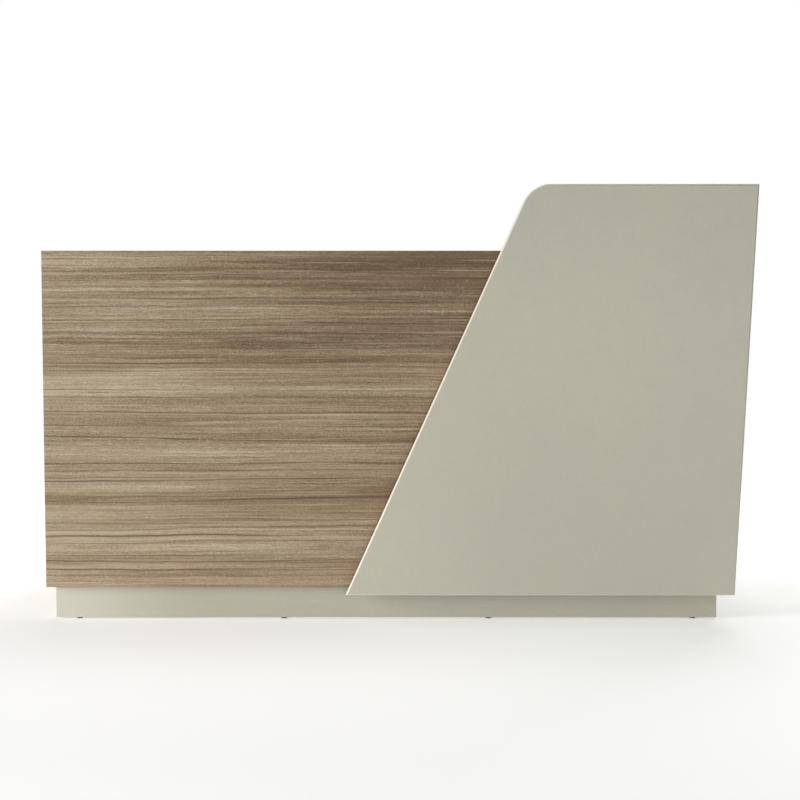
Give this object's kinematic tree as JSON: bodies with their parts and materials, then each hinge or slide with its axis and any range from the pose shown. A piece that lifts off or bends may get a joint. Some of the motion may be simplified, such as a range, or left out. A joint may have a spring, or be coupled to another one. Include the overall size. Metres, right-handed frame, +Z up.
{
  "type": "reception desk",
  "caption": "Reception desk with a wood-grain front, a slanted overlay panel rising to a counter, a plinth, and a worktop with locking drawers, keyboard tray and a hinged cabinet door.",
  "frame": {"origin": "on the floor, under the middle of the desk's outer box", "axes": "+X to the visitor's right along the desk, +Y from the visitors' side to the working side, +Z up"},
  "size_m": [1.8, 0.7, 1.105],
  "materials": {
    "wood_grain": "satin grey-brown wood-grain laminate with fine level grain",
    "grey_lacquer": "satin grey-beige lacquer",
    "pale_board": "fine-textured pale grey melamine",
    "powder_coat": "fine grey powder coat",
    "zinc_steel": "zinc-plated steel",
    "satin_metal": "satin brushed steel",
    "black_plastic": "fine-textured black plastic"
  },
  "bodies": {
    "carcass": {"front_panel": "wood_grain", "slanted_panel": "grey_lacquer", "riser_panel": "grey_lacquer", "left_end_panel": "wood_grain", "right_end_panel": "grey_lacquer", "plinth_front": "grey_lacquer", "plinth_left": "grey_lacquer", "plinth_right": "grey_lacquer", "glide_front_1": "black_plastic", "glide_front_2": "black_plastic", "glide_front_3": "black_plastic", "glide_front_4": "black_plastic", "glide_rear_left": "black_plastic", "glide_rear_right": "black_plastic", "glide_pedestal": "black_plastic", "glide_cabinet": "black_plastic", "worktop": "pale_board", "counter_top": "grey_lacquer", "counter_upright": "grey_lacquer", "niche_shelf": "pale_board", "pedestal_side": "pale_board", "pedestal_bottom": "pale_board", "pedestal_back": "pale_board", "pedestal_kick": "grey_lacquer", "lock_strike": "zinc_steel", "drawer_1_runner_left": "zinc_steel", "drawer_1_runner_right": "zinc_steel", "drawer_2_runner_left": "zinc_steel", "drawer_2_runner_right": "zinc_steel", "drawer_3_runner_left": "zinc_steel", "drawer_3_runner_right": "zinc_steel", "cabinet_side": "pale_board", "cabinet_bottom": "pale_board", "cabinet_back": "pale_board", "cabinet_shelf": "pale_board", "cabinet_kick": "grey_lacquer", "door_catch": "black_plastic", "hinge_lower_frame_leaf": "satin_metal", "hinge_upper_frame_leaf": "satin_metal", "keyboard_runner_left": "zinc_steel", "keyboard_runner_right": "zinc_steel", "grommet_sleeve": "black_plastic"},
    "drawer_1": {"drawer_1_front": "wood_grain", "drawer_1_tray": "powder_coat", "drawer_1_handle": "satin_metal"},
    "drawer_2": {"drawer_2_front": "wood_grain", "drawer_2_tray": "powder_coat", "drawer_2_handle": "satin_metal"},
    "drawer_3": {"drawer_3_front": "wood_grain", "drawer_3_tray": "powder_coat", "drawer_3_handle": "satin_metal"},
    "lock": {"lock_barrel": "satin_metal"},
    "keyboard": {"keyboard_tray": "wood_grain", "keyboard_rail_left": "zinc_steel", "keyboard_rail_right": "zinc_steel"},
    "door": {"door": "wood_grain", "door_handle": "satin_metal", "hinge_lower_door_leaf": "satin_metal", "hinge_upper_door_leaf": "satin_metal"},
    "cap": {"grommet_cap": "black_plastic"}
  },
  "joints": [
    {"name": "drawer_1_slide", "type": "slide", "parent": "carcass", "child": "drawer_1", "axis": [0, 1, 0], "range_m": [0, 0.36]},
    {"name": "drawer_2_slide", "type": "slide", "parent": "carcass", "child": "drawer_2", "axis": [0, 1, 0], "range_m": [0, 0.36]},
    {"name": "drawer_3_slide", "type": "slide", "parent": "carcass", "child": "drawer_3", "axis": [0, 1, 0], "range_m": [0, 0.36]},
    {"name": "lock_turn", "type": "hinge", "parent": "drawer_1", "child": "lock", "pos_m": [-0.675, 0.315, 0.694], "axis": [0, -1, 0], "range_deg": [0, 90]},
    {"name": "keyboard_slide", "type": "slide", "parent": "carcass", "child": "keyboard", "axis": [0, 1, 0], "range_m": [0, 0.26]},
    {"name": "door_swing", "type": "hinge", "parent": "carcass", "child": "door", "pos_m": [0.8074, 0.3186, 0.405], "axis": [0, 0, -1], "range_deg": [0, 100]},
    {"name": "cap_turn", "type": "hinge", "parent": "carcass", "child": "cap", "pos_m": [-0.032, -0.2298, 0.75], "axis": [0, 0, 1], "continuous": true}
  ]
}
